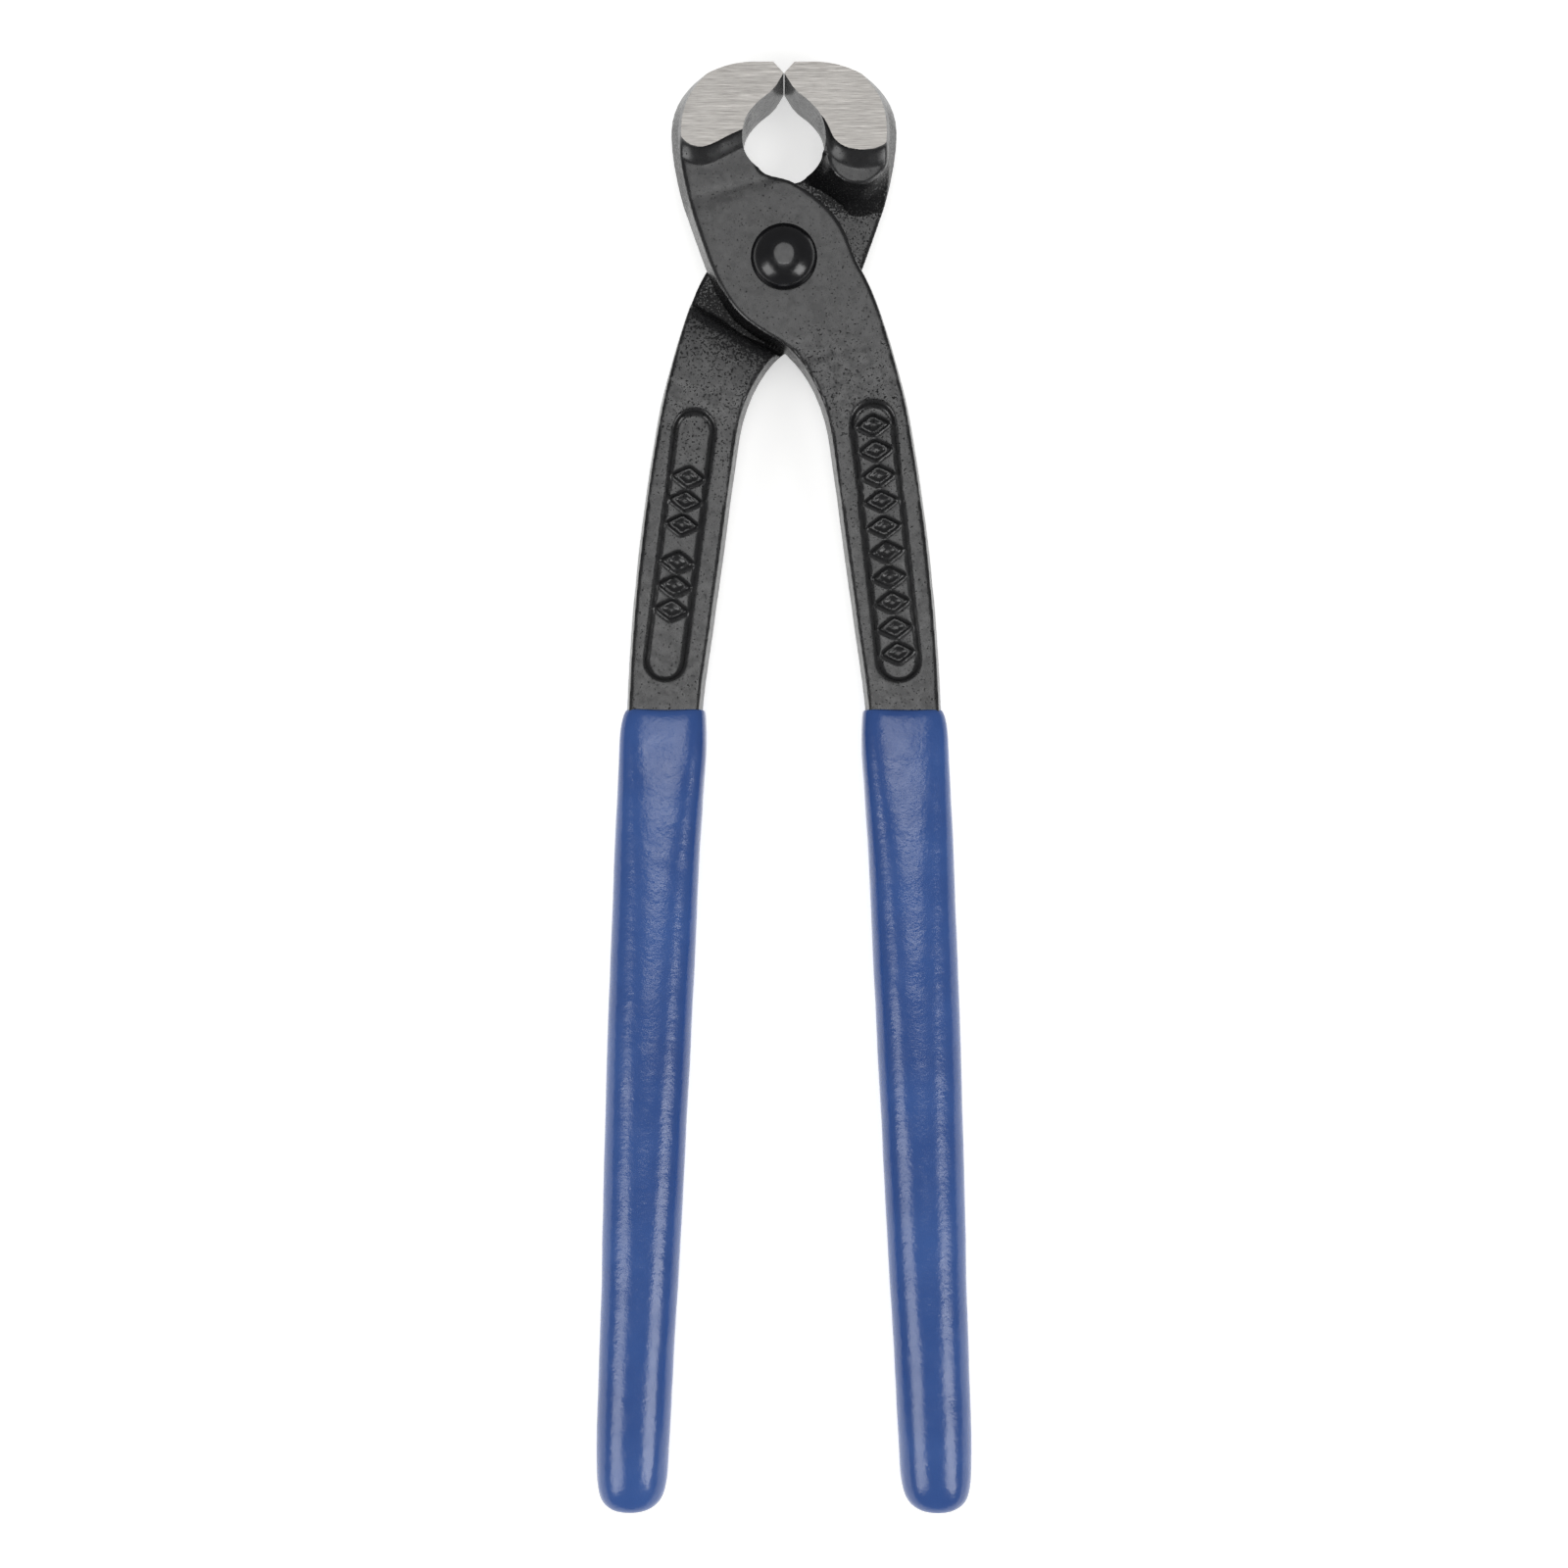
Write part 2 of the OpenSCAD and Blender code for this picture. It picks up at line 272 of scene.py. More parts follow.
# The jaw is forged oversize towards the mouth, the crown and both sides, and is ground to size later.
JAW_SPARE = JAW + 0.3
JAW_BLANK = [
    (-3.7, 13.1, -15.1, 12.6, JAW_SPARE, 0.2, 1.4),
    (-3.4, 15.8, -15.6, 16.4, JAW_SPARE, 0.2, 1.6),
    (-3.0, 18.9, -15.5, 19.8, JAW_SPARE, 0.2, 1.8),
    (-1.6, 21.2, -14.2, 23.0, JAW_SPARE, 0.2, 1.9),
    (0.6, 22.6, -11.1, 26.2, JAW_SPARE, 0.2, 1.7),
    (2.0, 24.0, -6.6, 28.9, JAW_SPARE, 0.2, 1.2),
    (2.4, 26.4, -0.2, 30.0, JAW_SPARE, 0.2, 0.6),
]

NOSE = (-10.15, 14.2)   # middle of the round nose on the lapped side of the jaw
CROWN = (-4.0, 12.45)   # middle of the arc that the end of the jaw is ground to
CROWN_R = 14.0
EDGE = (-0.04, 24.9)    # the cutting edge
SHANK_R = 2.75          # of the rivet
# Direction from the hinge to the lap's shoulder.
SHOULDER = Vector((math.cos(math.radians(300)), math.sin(math.radians(300))))


def lap_dish():
    """What is forged away for the other lever on the jaw's side of the hinge: a dish around a round nose."""
    dish = turned("lap_dish", [(AXIS, -9), (27.5, -9), (24, -6.4), (20.6, -3.6), (18.4, -1.9), (17, -0.95),
                               (15.9, -0.35), (14.9, 0.0), (14.3, LAP_GAP), (AXIS, LAP_GAP)], steps=72)
    nose = turned("nose", [(AXIS, -10), (4.2, -10), (4.2, -4.9), (4.3, -4.1), (4.6, -3.0), (5.1, -2.0),
                           (5.7, -1.2), (6.4, -0.6), (7.1, -0.2), (7.8, 0.2), (AXIS, 0.2)], NOSE)
    carve(dish, nose)
    carve(dish, prism("jaw_root", [(-24, NOSE[1]), (-5, NOSE[1]), (0, NOSE[1] + 0.4), (6, NOSE[1] + 1),
                                   (6, 32), (-24, 32)], -10, 1))
    edit(dish, "FACE")
    bpy.ops.mesh.select_all(action="SELECT")
    bpy.ops.mesh.bisect(plane_co=HINGE, plane_no=(SHOULDER.x, SHOULDER.y, 0), use_fill=True, clear_outer=True)
    rest()
    return dish


def lap_shoulder():
    """The same on the handle's side: a straight shoulder, just clear of the other boss as it turns."""
    profile = [(-0.5, LAP_GAP), (11.45, LAP_GAP), (11.5, -0.6), (11.65, -2.0), (11.9, -3.0), (12.3, -3.55),
               (13.1, -3.85), (15, -4.05), (18, -4.3), (22, -4.5), (30, -5), (30, -9), (-0.5, -9)]
    side = Vector((-SHOULDER.y, SHOULDER.x, 0)) * 30
    block = draw_line("lap_shoulder", [at(SHOULDER.x * r - side.x, SHOULDER.y * r - side.y, z)
                                       for r, z in profile])
    bpy.ops.mesh.select_all(action="SELECT")
    bpy.ops.mesh.edge_face_add()
    bpy.ops.mesh.extrude_region_move(TRANSFORM_OT_translate={"value": 2 * side * MM})
    rest()
    return face_out(block)


def step_tool(edge_line, side, floor):
    """Drops one side of the jaw from the ground level to the forged level in a hollow, below a line."""
    hollow = [(0, JAW + 1.5), (0, JAW), (-0.2, 6.22), (-0.9, 5.82), (-1.7, 5.46), (-2.3, 5.26),
              (-2.6, FACE), (-floor, FACE), (-floor, JAW + 1.5)]
    line = smooth(edge_line, 3)
    tool = draw_line("step_tool", [at(x, y, side * hollow[0][1]) for x, y in line])
    bpy.ops.mesh.select_all(action="SELECT")
    for (y0, z0), (y1, z1) in zip(hollow, hollow[1:]):
        bpy.ops.mesh.extrude_edges_move(
            TRANSFORM_OT_translate={"value": (0, (y1 - y0) * MM, side * (z1 - z0) * MM)})
    bpy.ops.mesh.extrude_edges_move(TRANSFORM_OT_translate={"value": (0, floor * MM, 0)})
    rest()
    face_out(tool)
    edit(tool, "EDGE")
    pick("edges", lambda e: e.is_boundary)
    bpy.ops.mesh.edge_face_add()
    rest()
    edit(tool, "EDGE")
    bpy.ops.mesh.select_all(action="DESELECT")
    bpy.ops.mesh.select_non_manifold(extend=False, use_wire=False, use_boundary=True,
                                     use_multi_face=False, use_non_contiguous=False, use_verts=False)
    bpy.ops.mesh.fill_holes(sides=0)
    rest()
    return face_out(tool)


# Ends of the middle line of each sunk panel, and the places of the raised marks along it.
OUTER_PANEL = [(12.25, -22.8), (15.8, -55.2)]
INNER_PANEL = [(12.35, -23.7), (16.4, -55.3)]
OUTER_R, INNER_R = 3.15, 2.95   # of the panels' ends
PANEL_D = 0.6                   # depth
OUTER_ROW = [1.3 + 3.5 * k for k in range(10)]
INNER_ROW = [7.6, 10.9, 14.2, 19.4, 22.7, 26.0]


def face_height(y):
    """Half thickness of the handle along the panels."""
    return HANDLE + 0.01 * (y + 57)


def pocket_tool(line, radius, side):
    """Presses a panel with round ends and sloping sides."""
    (x0, y0), (x1, y1) = line
    along = math.degrees(math.atan2(y1 - y0, x1 - x0))
    outline = arc((x0, y0), radius, along + 90, along + 270, 14)
    outline += arc((x1, y1), radius, along + 270, along + 450, 14)
    tool = draw_line("pocket_tool", [at(x, y, side * (face_height(y) - PANEL_D)) for x, y in outline])
    bpy.ops.mesh.select_all(action="SELECT")
    bpy.ops.mesh.edge_face_add()
    bpy.ops.mesh.extrude_region_move(TRANSFORM_OT_translate={"value": (0, 0, side * 0.8 * MM)})
    bpy.ops.mesh.extrude_region_move(TRANSFORM_OT_translate={"value": (0, 0, side * MM)})
    for x, y in line:
        pick("verts", lambda v: abs(local(v.co).z) < face_height(local(v.co).y) - PANEL_D + 0.01
             and (v.co - at(x, y)).xy.length < (radius + 0.1) * MM)
        bpy.ops.transform.resize(value=(0.84, 0.84, 1), center_override=at(x, y))
    rest()
    return face_out(tool)


def add_mark(line, place, side):
    """A raised lozenge with a sunk middle, on the panel's floor."""
    along = (Vector(line[1]) - Vector(line[0])).normalized()
    x, y = Vector(line[0]) + along * (place - 1.2)
    clear_selection()
    bpy.ops.mesh.primitive_cone_add(vertices=4, radius1=1.1, radius2=0.9, depth=1,
                                    location=at(x, y, side * (face_height(y) - PANEL_D + 0.1)))
    mark = bpy.context.object
    mark.scale = (1.42 * MM, 2.35 * MM, 0.95 * MM)
    mark.rotation_euler = (0 if side > 0 else math.pi, 0, math.atan2(along.y, along.x))
    settle(mark)
    edit(mark, "FACE")
    pick("faces", lambda f: f.normal.z * side > 0.9)
    bpy.ops.mesh.inset(thickness=0.32 * MM, depth=0)
    bpy.ops.mesh.inset(thickness=0.1 * MM, depth=-0.4 * MM)
    rest()
    return mark


def press_panels(lever):
    """Sinks the panels, and joins the marks in as shells that the remesh merges."""
    marks = []
    for line, radius, row, side in ((OUTER_PANEL, OUTER_R, OUTER_ROW, 1),
                                    (INNER_PANEL, INNER_R, INNER_ROW, -1)):
        carve(lever, pocket_tool(line, radius, side))
        marks += [add_mark(line, place, side) for place in row]
    take(lever)
    for mark in marks:
        mark.select_set(True)
    bpy.ops.object.join()


def forge():
    """The lever as it leaves the hammer and the barrel: soft edges, and spare metal on the jaw."""
    rows = smooth(TANG + SHANK + BOSS + JAW_BLANK, 3)
    lever = bar("front_lever_forging", [tuple(row) for row in rows])
    carve(lever, step_tool([(-19, 19.4), (-16.2, 18.2), (-14.4, 16.6), (-13.0, 15.3), (-11.2, 14.9),
                            (-9.4, 15.5), (-7.4, 16.5), (-5.2, 17.5), (-2.6, 18.6), (1.5, 19.6)], 1, 10.5))
    carve(lever, step_tool([(-19, 18.6), (-16.2, 17.4), (-14.4, 15.7), (-12.8, 14.8), (-10.6, 14.5),
                            (-8.4, 14.9), (-6.8, 16.1), (-6.0, 17.8), (-4.4, 19.6), (1.5, 21.2)], -1, 9.5))
    carve(lever, lap_dish())
    carve(lever, lap_shoulder())
    press_panels(lever)
    finish_with(lever, "REMESH", mode="VOXEL", voxel_size=0.25 * MM, use_smooth_shade=True)
    finish_with(lever, "SMOOTH", factor=0.5, iterations=3)
    waves = bpy.data.textures.new("forging_waves", "CLOUDS")
    waves.noise_scale = 7 * MM
    finish_with(lever, "DISPLACE", texture=waves, texture_coords="LOCAL", strength=0.12 * MM, mid_level=0.5)
    return lever


def thin_tang(lever):
    """The tang is hidden in the grip, so it keeps few faces."""
    take(lever)
    group = lever.vertex_groups.new(name="tang")
    hidden = [v.index for v in lever.data.vertices if v.co.y < GRIP_MOUTH - 4 * MM]
    group.add(hidden, 1.0, "REPLACE")
    share = len(hidden) / len(lever.data.vertices)
    finish_with(lever, "DECIMATE", ratio=1 - 0.9 * share, vertex_group="tang")  # nine in ten go
    lever.vertex_groups.clear()


def grind_side(lever, side):
    """Grinds one side face of the jaw flat."""
    edit(lever, "FACE")
    bpy.ops.mesh.select_all(action="SELECT")
    bpy.ops.mesh.bisect(plane_co=at(0, 0, side * JAW), plane_no=(0, 0, side), use_fill=True,
                        clear_outer=True, threshold=MM / 10000)
    rest()


def grind(lever):
    grind_side(lever, 1)
    grind_side(lever, -1)
    carve(lever, prism("crown_tool", [(6, CROWN[1] + CROWN_R)] + arc(CROWN, CROWN_R, 90, 118.5, 14)
                       + [(-11.9, 24.95), (-18, 25.4), (-18, 33), (6, 33)], -9, 9))
    mouth = [(EDGE[0] - 3.2, EDGE[1] + 3.55), EDGE, (-1.15, 23.1), (-2.0, 22.2)]
    mouth += [tuple(p) for p in smooth(
        [(-2.0, 22.2), (-3.3, 21.2), (-4.4, 20.1), (-5.2, 18.9), (-5.6, 17.6), (-5.72, 16.3), (-5.6, 15.1),
         (-5.1, 13.9), (-4.35, 12.95), (-3.4, 12.2), (-2.3, 11.8), (-1, 11.7)], 2)[1:]]
    mouth += [(6, 11.7), (6, EDGE[1] + 3.55)]
    carve(lever, prism("mouth_tool", mouth, -9, 9))


def machine(lever):
    """The lap face and the hole for the rivet."""
    face_r, bore_r = 11.4, SHANK_R + 0.05
    lap = [(AXIS, -1), (face_r, -1), (face_r, LAP_GAP), (AXIS, LAP_GAP)]
    carve(lever, turned("lap_face_tool", lap, steps=64))
    carve(lever, turned("bore_tool", [(AXIS, -8), (bore_r, -8), (bore_r, 8), (AXIS, 8)]))


def finish_skin(lever, name):
    take(lever)
    lever.name = name
    bpy.ops.object.shade_smooth_by_angle(angle=math.radians(28))
    return lever


# ---------------------------------------------------------------- rivet and grips

def rivet():
    """Round head with a small flat, a plain shank, and a low closing head behind."""
    dome = [(4.56, 5.5), (4.5, 5.95), (4.3, 6.45), (3.95, 6.9), (3.5, 7.27), (3.0, 7.56), (2.5, 7.77),
            (2.0, 7.92), (1.5, 8.02)]
    profile = [(AXIS, -6.12), (1.6, -6.12), (2.5, -6.0), (3.2, -5.65), (3.75, -5.25), (3.9, -5.1),
               (SHANK_R, -4.0), (SHANK_R, 5.25), (4.45, 5.25)]
    profile += [tuple(p) for p in smooth(dome, 4)] + [(1.3, 8.04), (0.9, 8.05), (AXIS, 8.05)]
    piece = turned("rivet", profile, steps=96)
    take(piece)
    bpy.ops.object.shade_smooth_by_angle(angle=math.radians(40))
    return piece


# The grip's rows: y, right and left side, half thickness, and squareness (1.1 flat topped to 0.7 round).
GRIP_ROWS = [
    (-62.25, 21.7, 11.05, 3.8, 1.1),
    (-62.45, 21.95, 10.95, 4.05, 1.1),
    (-63.0, 22.25, 10.87, 4.3, 1.1),
    (-64.2, 22.55, 10.8, 4.5, 1.1),
    (-66.5, 22.8, 10.78, 4.68, 1.08),
    (-70.5, 23.02, 10.95, 4.76, 1.02),
    (-75.5, 23.28, 11.3, 4.79, 0.95),
    (-82, 23.55, 11.65, 4.81, 0.88),
    (-92, 23.95, 12.13, 4.83, 0.83),
    (-106, 24.54, 12.8, 4.85, 0.8),
    (-120, 24.87, 13.5, 4.87, 0.78),
    (-134, 25.2, 14.25, 4.88, 0.76),
    (-148, 25.6, 15.05, 4.9, 0.75),
    (-159, 25.9, 15.65, 4.92, 0.74),
    (-166, 26.12, 16.0, 4.92, 0.74),
    (-169.5, 26.1, 16.25, 4.8, 0.74),
    (-172, 25.5, 17.0, 4.0, 0.74),
    (-173.3, 23.7, 19.0, 2.5, 0.75),
]


def dip_grip():
    """Vinyl dipped over the tang: square at its lip like the steel, and rounder towards its end."""
    stations = []
    for y, right, left, half, square in reversed(GRIP_ROWS):
        swell = 6 / (4 + 2 * square)  # makes up for what the subdivision takes off the sides
        reach = (right - left) / 2 * swell
        middle, draft = (right + left) / 2, reach * (1 - square)
        stations.append((middle + reach, y, middle - reach, y, half * swell * square, draft, draft))
    piece = bar("front_grip_skin", stations)
    edit(piece, "EDGE")
    bpy.ops.mesh.select_all(action="SELECT")
    bpy.ops.mesh.tris_convert_to_quads(face_threshold=math.pi, shape_threshold=math.pi)
    pick("edges", lambda e: abs(e.verts[0].co.y - e.verts[1].co.y) < MM / 100
         and abs(e.verts[0].co.z - e.verts[1].co.z) < MM / 100 and abs(e.verts[0].co.z - HINGE.z) > MM / 100)
    bpy.ops.mesh.subdivide(number_cuts=1)
    bpy.ops.mesh.select_mode(type="VERT")
    for y, right, left, _, square in GRIP_ROWS:
        middle = (right + left) / 2
        pick("verts", lambda v: abs(local(v.co).y - y) < 0.01 and abs(local(v.co).x - middle) < 0.01)
        bpy.ops.transform.resize(value=(1, 1, 1 / square), center_override=HINGE)
    # The vinyl climbs a little at the corners of the steel.
    for low, climb in ((-64.5, 0.15), (-63.1, 0.25), (-62.5, 0.2)):
        pick("verts", lambda v: local(v.co).y > low and abs(local(v.co).z) > 3
             and abs(local(v.co).x - 16.5) > 3)
        bpy.ops.transform.translate(value=(0, climb * MM, 0))
    rest()
    finish_with(piece, "SUBSURF", levels=3)
    waves = bpy.data.textures.new("dip_waves", "CLOUDS")
    waves.noise_scale = 9 * MM
    finish_with(piece, "DISPLACE", texture=waves, texture_coords="LOCAL", strength=0.22 * MM, mid_level=0.6)
    # The hollow holds the tang tightly, and runs out of the lip.
    bite = 0.03
    core = [(a - bite, y, b + bite, y, half - bite, 0.5, 0.5) for a, y, b, _, half, _, _ in TANG]
    core.append((22.0, -58, 10.4, -58, HANDLE - bite, 0.5, 0.5))
    carve(piece, bar("tang_core", [tuple(row) for row in smooth(core, 3)]))
    take(piece)
    bpy.ops.object.shade_smooth_by_angle(angle=math.radians(50))
    return piece


# ---------------------------------------------------------------- finishes

def colour(text):
    """An sRGB colour such as 2f4c88 as linear red, green, blue and alpha."""
    parts = [int(text[k:k + 2], 16) / 255 for k in (0, 2, 4)]
    return tuple(c / 12.92 if c <= 0.04045 else ((c + 0.055) / 1.055) ** 2.4 for c in parts) + (1,)


def add(finish, kind, settings=(), **inputs):
    """Adds a node; an input is a value, or an output of another node."""
    node = finish.node_tree.nodes.new("ShaderNode" + kind)
    for name, value in dict(settings).items():
        setattr(node, name, value)
    for name, value in inputs.items():
        socket = node.inputs[int(name[1:])] if name[1:].isdigit() else node.inputs[name.replace("_", " ")]
        if isinstance(value, bpy.types.NodeSocket):
            finish.node_tree.links.new(value, socket)
        else:
            socket.default_value = value
    return node


def start(name, **shader):
    """A finish with its shader, and its object coordinates in metres."""
    finish = bpy.data.materials.new(name)
    finish.use_nodes = True
    finish.node_tree.nodes.clear()
    principled = add(finish, "BsdfPrincipled", **shader)
    add(finish, "OutputMaterial", Surface=principled.outputs["BSDF"])
    return finish, principled, add(finish, "TexCoord").outputs["Object"]


def link(finish, socket, target):
    finish.node_tree.links.new(socket, target)


def noise(finish, where, scale, detail=2.0, roughness=0.5):
    """Noise with scale waves to the metre."""
    return add(finish, "TexNoise", Vector=where, Scale=scale, Detail=detail,
               Roughness=roughness).outputs["Fac"]


def ramp(finish, value, stops):
    """A colour ramp with stops of (position, sRGB colour)."""
    node = add(finish, "ValToRGB", Fac=value)
    band = node.color_ramp
    while len(band.elements) < len(stops):
        band.elements.new(0.5)
    for element, (position, text) in zip(band.elements, stops):
        element.position = position
        element.color = colour(text)
    return node.outputs["Color"]


def spread(finish, value, low, high, new_low, new_high):
    return add(finish, "MapRange", {"clamp": True}, Value=value, From_Min=low, From_Max=high,
               To_Min=new_low, To_Max=new_high).outputs["Result"]


def maths(finish, operation, first, second=0.0):
    return add(finish, "Math", {"operation": operation}, _0=first, _1=second).outputs["Value"]


def vectors(finish, operation, first, second=(0, 0, 0), result="Vector"):
    return add(finish, "VectorMath", {"operation": operation}, _0=first, _1=second).outputs[result]


def uneven(finish, shader, where, scale, low, high):
    """Lets the roughness wander between two values."""
    patches = noise(finish, where, scale, 3)
    link(finish, spread(finish, patches, 0.3, 0.7, low, high), shader.inputs["Roughness"])


def bump(finish, height, distance, strength=1.0, under=None):
    """A bump node's normal: distance in millimetres, on top of the bump under it."""
    node = add(finish, "Bump", Height=height, Distance=distance * MM, Strength=strength)
    if under is not None:
        link(finish, under, node.inputs["Normal"])
    return node.outputs["Normal"]


def pits_and_painted_shade(finish, place):
    """How close the pits are, 0 to 1: they run together on the lapped faces, by the hinge and the nose. That
    crowding is painted shade along the seam with the other lever and in the hollow at the nose's foot.
    """
    away = vectors(finish, "SUBTRACT", place, HINGE)
    parts = add(finish, "SeparateXYZ", Vector=away).outputs
    flat = vectors(finish, "MULTIPLY", away, (1, 1, 0))
    radius = vectors(finish, "LENGTH", flat, result="Value")
    # Painted shade: the pits crowd next to the seam with the other lever, by the hinge.
    near = maths(finish, "MULTIPLY", spread(finish, radius, 12 * MM, 16.5 * MM, 1, 0.35),
                 spread(finish, parts["Y"], -6 * MM, 2 * MM, 1, 0.3))
    # Painted shade: the pits also crowd in the hollow at the nose's foot.
    for side in (1, -1):
        foot = vectors(finish, "DISTANCE", flat, (side * NOSE[0] * MM, NOSE[1] * MM, 0), "Value")
        near = maths(finish, "MAXIMUM", near, spread(finish, foot, 6.8 * MM, 9.2 * MM, 1, 0))
    height = maths(finish, "ABSOLUTE", parts["Z"])
    lapped = maths(finish, "MULTIPLY", near, spread(finish, height, 4.2 * MM, 5.2 * MM, 1, 0))
    return maths(finish, "MULTIPLY", lapped, spread(finish, radius, 18 * MM, 40 * MM, 1, 0.2))


def lacquered_forging():
    """Dark grey lacquer, sprayed over barrelled forged steel: faint waves, grit and small pits, with painted
    shade where the pits crowd by the seam and the nose.
    """
    finish, shader, place = start("lacquered_forging", Roughness=0.26, IOR=1.5)
    tone = noise(finish, place, 260, 4)
    link(finish, ramp(finish, tone, [(0.3, "161617"), (0.55, "1c1c1d"), (0.75, "232323")]),
         shader.inputs["Base Color"])
    uneven(finish, shader, place, 900, 0.22, 0.31)
    waves = bump(finish, noise(finish, place, 420, 3), 0.03, 0.6)
    across = add(finish, "Mapping", Vector=place, Scale=(0.12, 1, 1)).outputs["Vector"]
    strokes = bump(finish, noise(finish, across, 4200, 3, 0.6), 0.006, 0.5, waves)
    limit = spread(finish, pits_and_painted_shade(finish, place), 0, 1, 0.67, 0.41)
    above = maths(finish, "SUBTRACT", noise(finish, place, 3400, 2, 0.6), limit)
    pits_and_shade = spread(finish, above, 0, 0.05, 1, 0)
    # Painted shade: the pits, crowded by the seam and the nose, turn the specular down and darken the lacquer
    # there.
    link(finish, spread(finish, pits_and_shade, 0, 1, 0.1, 0.5), shader.inputs["Specular IOR Level"])
    link(finish, bump(finish, pits_and_shade, 0.08, 0.9, strokes), shader.inputs["Normal"])
    return finish


def ground_steel():
    """Bare steel from a belt grinder, with fine scratches across the jaws."""
    finish, shader, place = start("ground_steel", Metallic=1.0, Roughness=0.4)
    across = add(finish, "Mapping", Vector=place, Scale=(0.03, 1, 1)).outputs["Vector"]
    lines = noise(finish, across, 11000, 3, 0.7)
    broad = noise(finish, across, 3000, 2)
    link(finish, ramp(finish, lines, [(0.3, "86837f"), (0.5, "a7a4a0"), (0.7, "c2bfbb")]),
         shader.inputs["Base Color"])
    link(finish, spread(finish, broad, 0.3, 0.7, 0.36, 0.46), shader.inputs["Roughness"])
    link(finish, bump(finish, lines, 0.003, 0.5, bump(finish, broad, 0.005, 0.4)), shader.inputs["Normal"])
    return finish


def blackened_rivet():
    """Black oxide on a formed rivet head."""
    finish, shader, place = start("blackened_rivet", Roughness=0.15, IOR=1.5)
    link(finish, ramp(finish, noise(finish, place, 700, 4), [(0.3, "0a0a0c"), (0.7, "101013")]),
         shader.inputs["Base Color"])
    uneven(finish, shader, place, 1300, 0.16, 0.25)
    grit = bump(finish, noise(finish, place, 3000, 2), 0.01, 0.4)
    link(finish, bump(finish, noise(finish, place, 600, 2), 0.04, 0.5, grit), shader.inputs["Normal"])
    return finish


def dipped_vinyl():
    """Dark blue dip-moulded vinyl, glossy, with a grained and slightly uneven skin."""
    finish, shader, place = start("dipped_vinyl", Roughness=0.2, IOR=1.5)
    link(finish, ramp(finish, noise(finish, place, 90, 3), [(0.3, "2f4e8c"), (0.7, "385a9a")]),
         shader.inputs["Base Color"])
    uneven(finish, shader, place, 500, 0.17, 0.26)
    dents = bump(finish, noise(finish, place, 330, 2), 0.12, 0.6)
    skin = bump(finish, noise(finish, place, 1100, 3, 0.6), 0.05, 0.8, dents)
    link(finish, bump(finish, noise(finish, place, 2600, 2), 0.02, 0.8, skin), shader.inputs["Normal"])
    return finish


# ---------------------------------------------------------------- assembly

LACQUER = lacquered_forging()
STEEL = ground_steel()
RIVET = blackened_rivet()
VINYL = dipped_vinyl()


def dress(piece, finish):
    piece.data.materials.clear()
    piece.data.materials.append(finish)


def bare_steel(lever, side):
    """Gives the ground faces of a jaw their bare steel: both sides, the crown and the edge's bevel."""
    dress(lever, LACQUER)
    lever.data.materials.append(STEEL)
    for face in lever.data.polygons:
        x, y, z = local(face.center)
        up = abs(face.normal.z)
        sides = y > 13 and abs(abs(z) - JAW) < 0.02 and up > 0.999
        crown = y > 24.2 and up < 0.02 and math.hypot(side * x - CROWN[0], y - CROWN[1]) > CROWN_R - 0.2
        bevel = y > EDGE[1] - 0.05 and up < 0.02 and abs(x) < 4
        face.material_index = 1 if sides or crown or bevel else 0


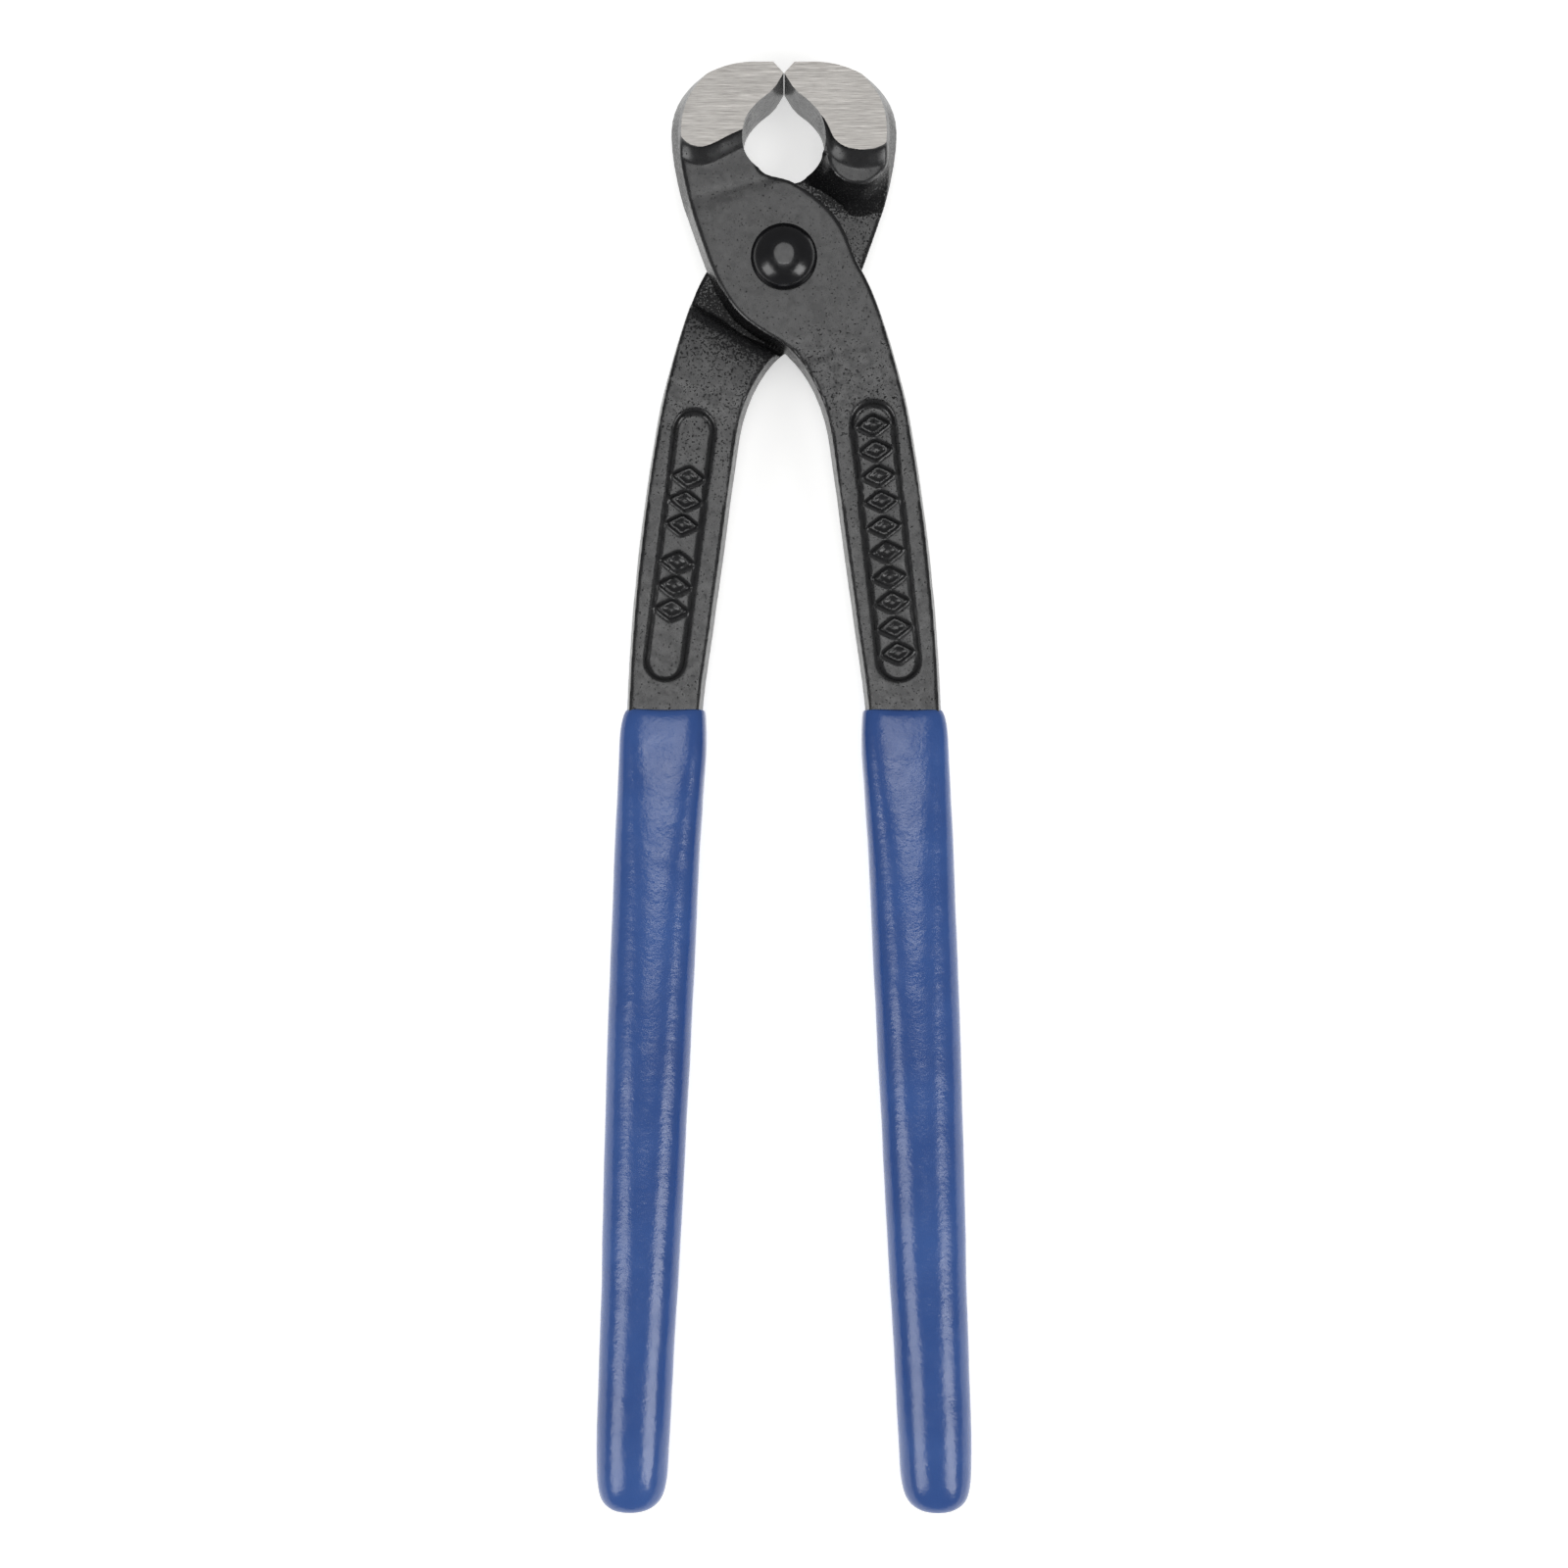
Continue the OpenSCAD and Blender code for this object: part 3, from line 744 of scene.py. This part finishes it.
def assemble():
    front = forge()
    thin_tang(front)
    grind(front)
    machine(front)
    finish_skin(front, "front_lever_forged")
    rear = turn_over(copy_of(front, "rear_lever_forged"))
    bare_steel(front, 1)
    bare_steel(rear, -1)
    front_grip = dip_grip()
    front_grip.name = "front_grip_dipped"
    rear_grip = turn_over(copy_of(front_grip, "rear_grip_dipped"))
    pin = rivet()
    pin.name = "pivot_rivet_formed"
    dress(pin, RIVET)
    for piece, body, node, slot in (
            (front, "front_arm", "front_lever", "lacquered_forging"),
            (rear, "rear_arm", "rear_lever", "lacquered_forging"),
            (front_grip, "front_arm", "front_grip", "dipped_vinyl"),
            (rear_grip, "rear_arm", "rear_grip", "dipped_vinyl"),
            (pin, "rear_arm", "pivot_rivet", "blackened_rivet")):
        if slot == "dipped_vinyl":
            dress(piece, VINYL)
        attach(piece, body)
        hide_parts(node)


assemble()

# ---------------------------------------------------------------- studio

MIDDLE = at(0, -72.3)   # under the camera
CAMERA_HEIGHT = 0.4


def softbox(name, offset, width, height, radiance):
    """An area light at an offset in metres from the middle of the picture, turned towards it."""
    lamp = bpy.data.lights.new(name, "AREA")
    lamp.shape = "RECTANGLE"
    lamp.size, lamp.size_y = width, height
    lamp.energy = radiance * math.pi * width * height
    holder = bpy.data.objects.new(name, lamp)
    bpy.context.collection.objects.link(holder)
    holder.location = MIDDLE + Vector(offset)
    holder.rotation_euler = Vector(offset).to_track_quat("Z", "Y").to_euler()
    return holder


for name, middle, length, radiance in (("overhead_panel", 0.24, 0.36, 2.9),
                                       ("overhead_edge", 0.01, 0.11, 5.3)):
    panel = softbox(name, (0, middle, 0.9), 0.30, length, radiance)
    panel.rotation_euler = (0, 0, 0)
softbox("left_softbox", (-0.58, -0.34, 0.60), 0.40, 0.50, 4.6)
softbox("right_softbox", (0.58, -0.34, 0.60), 0.34, 0.50, 5.6)

world = bpy.data.worlds.new("studio")
world.use_nodes = True
world.node_tree.nodes["Background"].inputs["Color"].default_value = (0.25, 0.25, 0.255, 1)
bpy.context.scene.world = world

clear_selection()
bpy.ops.mesh.primitive_plane_add(size=12, location=(MIDDLE.x, MIDDLE.y, -0.02 * MM))
floor = bpy.context.object
floor.name = "floor"
paper, paper_shader, _ = start("white_paper", Roughness=0.9)
paper_shader.inputs["Base Color"].default_value = colour("f4f4f2")
paper_shader.inputs["Emission Color"].default_value = (1, 1, 1, 1)
paper_shader.inputs["Emission Strength"].default_value = 0.55
dress(floor, paper)

lens = bpy.data.cameras.new("camera")
lens.sensor_width = 36
lens.lens = 66.1
lens.clip_start = 0.01
camera = bpy.data.objects.new("camera", lens)
bpy.context.collection.objects.link(camera)
camera.location = MIDDLE + Vector((0, 0, CAMERA_HEIGHT))
bpy.context.scene.camera = camera
bpy.context.scene.view_settings.view_transform = "Standard"
